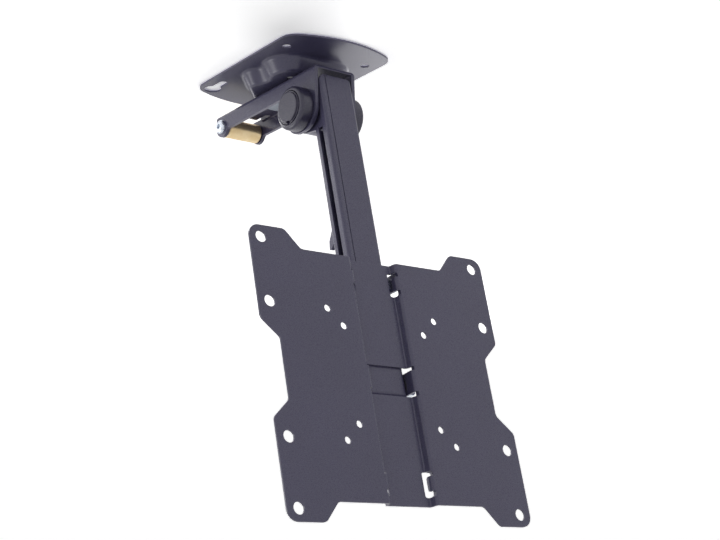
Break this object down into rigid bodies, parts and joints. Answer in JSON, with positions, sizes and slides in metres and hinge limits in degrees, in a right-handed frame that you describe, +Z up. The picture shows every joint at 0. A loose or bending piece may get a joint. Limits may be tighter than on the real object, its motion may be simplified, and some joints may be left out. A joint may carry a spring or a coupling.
{
  "type": "tv mount",
  "caption": "Fold-down ceiling mount for a flat screen: dished ceiling plate, swivelling yoke, hinged two-channel arm, tilting screen plate with hole patterns, and a latch over a roller.",
  "frame": {"origin": "centre of the ceiling plate's flat upper face, midway between its four screw places", "axes": "+Z up, out of the ceiling plate's upper face; +X to the right seen from the front, along the fold hinge; +Y to the back, where the roller is. The screen plate faces -Y, leaning 11.17 degrees."},
  "size_m": [0.2198, 0.2254, 0.3834],
  "materials": {
    "dark_coat": "satin powder coat",
    "zinc": "bright zinc plate",
    "roller_brass": "polished",
    "cap_plastic": "moulded, fine grain",
    "slip_nylon": "natural nylon"
  },
  "bodies": {
    "ceiling_body": {"ceiling_plate": "dark_coat", "pivot_bolt": "zinc", "pivot_nut": "zinc", "pivot_washer": "zinc", "pivot_disc": "slip_nylon"},
    "yoke_body": {"yoke_bracket": "dark_coat", "guide_bolt": "zinc", "guide_nut": "zinc", "guide_disc": "slip_nylon", "hinge_bolt": "zinc", "hinge_nut": "zinc", "hinge_cap_left": "cap_plastic", "hinge_cap_right": "cap_plastic", "cap_button_left": "cap_plastic", "cap_button_right": "cap_plastic", "hinge_washers": "slip_nylon", "roller_bolt": "zinc"},
    "roller_body": {"roller": "roller_brass"},
    "arm_body": {"arm_front_channel": "dark_coat", "arm_rear_channel": "dark_coat", "arm_cheeks": "dark_coat", "hinge_bush": "dark_coat", "hinge_barrel": "dark_coat", "arm_spacers": "dark_coat", "tilt_knuckle": "dark_coat", "lock_bushes": "zinc", "lock_bolt": "zinc", "lock_nut": "zinc", "latch_bracket": "dark_coat", "latch_pin": "zinc"},
    "latch_body": {"latch_hook": "dark_coat"},
    "screen_body": {"vesa_plate": "dark_coat", "lock_quadrants": "dark_coat", "tilt_bolt": "zinc", "tilt_nut": "zinc", "tilt_washers": "slip_nylon"}
  },
  "joints": [
    {"name": "ceiling_swivel", "type": "hinge", "parent": "ceiling_body", "child": "yoke_body", "pos_m": [0, 0.024, -0.0148], "axis": [0, 0, 1], "range_deg": [-18, 18]},
    {"name": "arm_fold", "type": "hinge", "parent": "yoke_body", "child": "arm_body", "pos_m": [0, -0.0369, -0.0483], "axis": [1, 0, 0], "range_deg": [-10, 104.17]},
    {"name": "screen_tilt", "type": "hinge", "parent": "arm_body", "child": "screen_body", "pos_m": [0, -0.09949, -0.27905], "axis": [1, 0, 0], "range_deg": [0, 15]},
    {"name": "roller_spin", "type": "hinge", "parent": "yoke_body", "child": "roller_body", "pos_m": [0, 0.08, -0.027], "axis": [1, 0, 0], "continuous": true},
    {"name": "latch_throw", "type": "hinge", "parent": "arm_body", "child": "latch_body", "pos_m": [0.0122, -0.05624, -0.14932], "axis": [1, 0, 0], "range_deg": [-21, 0]}
  ]
}
